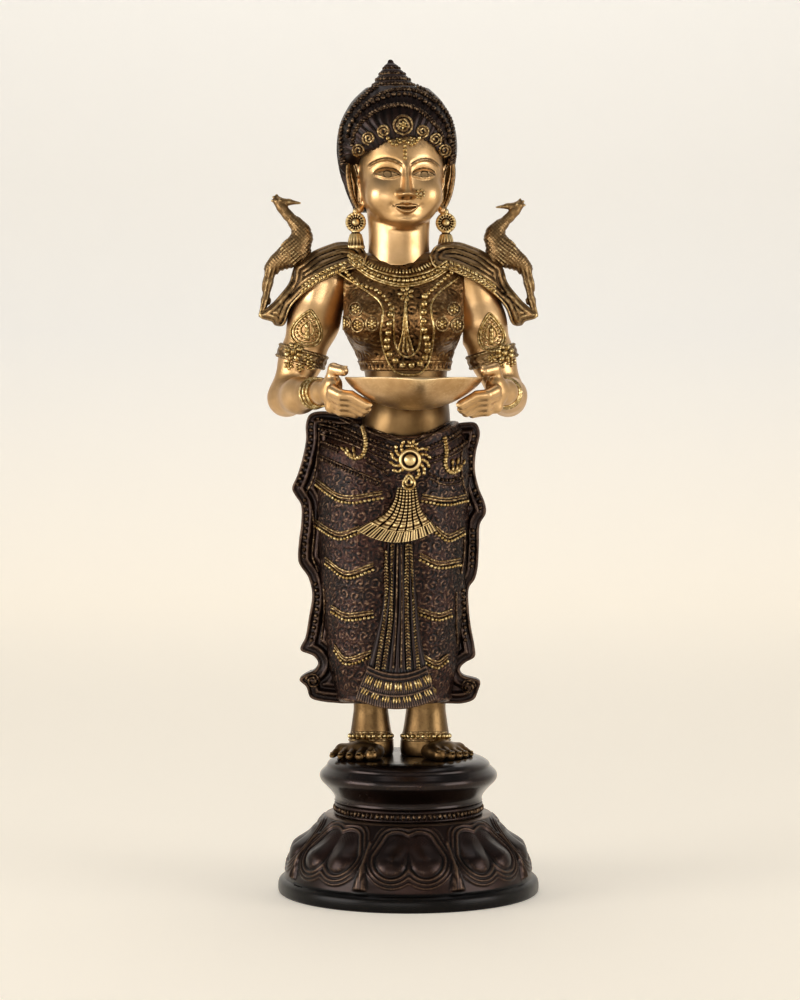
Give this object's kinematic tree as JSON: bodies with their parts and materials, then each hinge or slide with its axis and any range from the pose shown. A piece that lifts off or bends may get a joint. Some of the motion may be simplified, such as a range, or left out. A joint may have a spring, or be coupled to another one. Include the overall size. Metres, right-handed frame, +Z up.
{
  "type": "standing oil lamp figure",
  "caption": "Standing draped brass figure on a lotus pedestal, birds at the shoulders, holding out a shallow spouted oil bowl that slides forward out of the hands.",
  "frame": {"origin": "centre of the pedestal's standing ring, on the table", "axes": "+Z up through the figure, -Y the way the figure faces, +X its left side (the viewer's right)"},
  "size_m": [0.2226, 0.2391, 0.661],
  "materials": {
    "polished_brass": "polished, aged",
    "antique_brass": "antique, rubbed",
    "dark_patina": "dark brown patina, rubbed on the high points",
    "bolt_steel": "plain"
  },
  "bodies": {
    "figure": {"lotus_base": "dark_patina", "beaded_ring": "dark_patina", "plinth": "dark_patina", "foot_bolts": "bolt_steel", "bolt_washers": "bolt_steel", "right_leg": "polished_brass", "left_leg": "polished_brass", "skirt": "dark_patina", "right_sash": "dark_patina", "left_sash": "dark_patina", "front_pleats": "dark_patina", "apron": "antique_brass", "girdle_clasp": "antique_brass", "torso": "polished_brass", "right_arm": "polished_brass", "left_arm": "polished_brass", "right_armlet": "antique_brass", "left_armlet": "antique_brass", "right_shoulder_drape": "antique_brass", "left_shoulder_drape": "antique_brass", "right_bird": "antique_brass", "left_bird": "antique_brass", "head": "polished_brass", "hair": "dark_patina", "finial": "dark_patina", "right_earring": "antique_brass", "left_earring": "antique_brass"},
    "bowl": {"oil_bowl": "polished_brass"}
  },
  "joints": [
    {"name": "bowl_slide", "type": "slide", "parent": "figure", "child": "bowl", "axis": [0, -1, 0], "range_m": [0, 0.12]}
  ]
}
